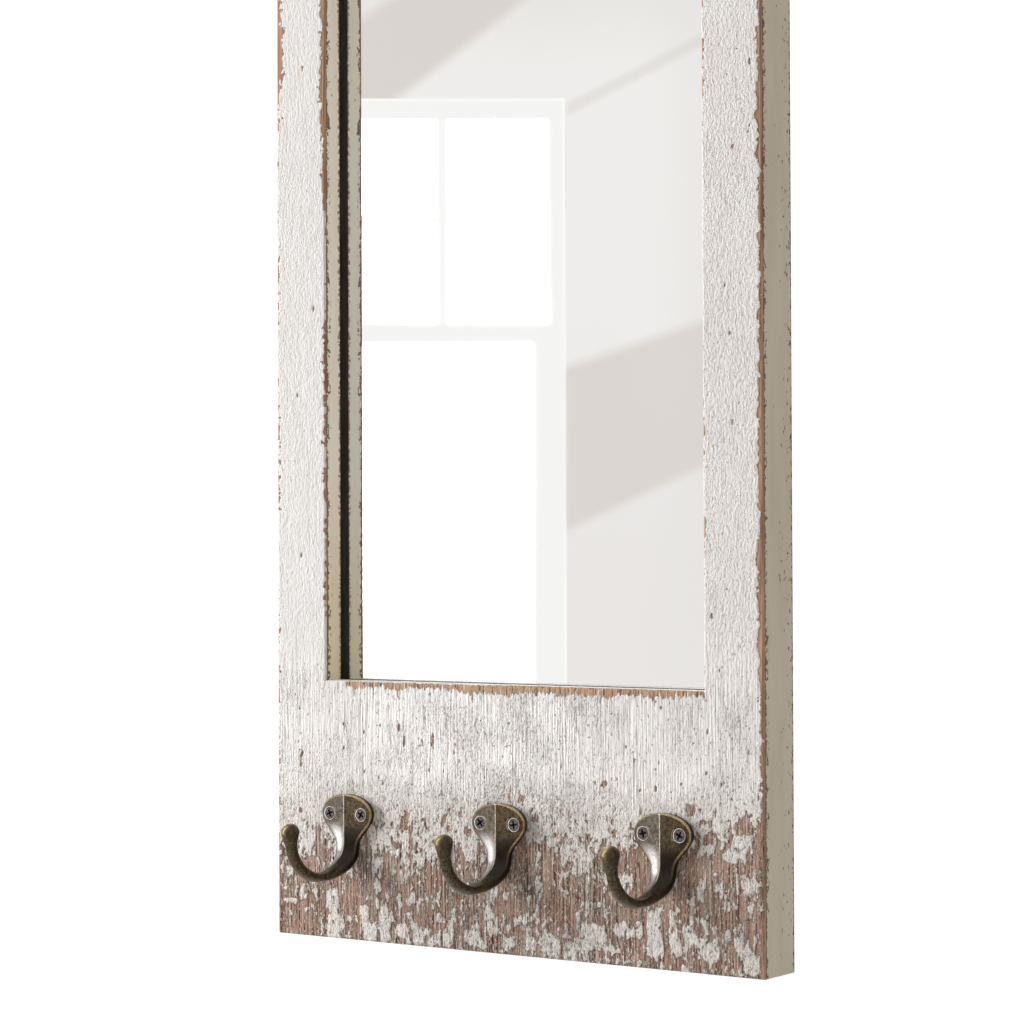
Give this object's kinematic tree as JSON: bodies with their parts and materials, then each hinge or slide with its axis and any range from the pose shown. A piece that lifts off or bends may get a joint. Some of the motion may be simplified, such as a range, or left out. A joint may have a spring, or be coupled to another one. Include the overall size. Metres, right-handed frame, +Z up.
{
  "type": "wall mirror with hooks",
  "caption": "Tall narrow wall mirror in a distressed white-painted wooden frame, with antique-brass coat hooks on its wide bottom panel and swinging hanger rings on the back.",
  "frame": {"origin": "on the wall, midway between the two nails that carry the hanger rings when they are swung up", "axes": "+X to the viewer's right, +Y into the wall, +Z up"},
  "size_m": [0.267, 0.0787, 0.7621],
  "materials": {
    "painted_wood": "thick crackled white paint over pink-brown wood, worn through at the edges and along the bottom",
    "dowel_wood": "bare beech",
    "mirror": "silvered float glass",
    "hardboard": "smooth hardboard",
    "antique_brass": "dark antique brass, rubbed bright along the rims",
    "screw_steel": "nickel-plated, dark in the recess",
    "zinc_steel": "zinc-plated",
    "rubber": "matt"
  },
  "bodies": {
    "mirror": {"left_stile": "painted_wood", "right_stile": "painted_wood", "top_rail": "painted_wood", "bottom_panel": "painted_wood", "frame_dowels": "dowel_wood", "mirror_glass": "mirror", "backing_board": "hardboard", "glazing_points": "zinc_steel", "hook_left": "antique_brass", "hook_middle": "antique_brass", "hook_right": "antique_brass", "hook_screws": "screw_steel", "hanger_strap_left": "zinc_steel", "hanger_strap_right": "zinc_steel", "hanger_screws": "screw_steel", "bumper_left": "rubber", "bumper_right": "rubber"},
    "ring_left": {"hanger_ring_left": "zinc_steel"},
    "ring_right": {"hanger_ring_right": "zinc_steel"}
  },
  "joints": [
    {"name": "hanger_ring_left_hinge", "type": "hinge", "parent": "mirror", "child": "ring_left", "pos_m": [-0.12275, -0.0029, -0.01275], "axis": [1, 0, 0], "range_deg": [-4, 184]},
    {"name": "hanger_ring_right_hinge", "type": "hinge", "parent": "mirror", "child": "ring_right", "pos_m": [0.12275, -0.0029, -0.01275], "axis": [1, 0, 0], "range_deg": [-4, 184]}
  ]
}
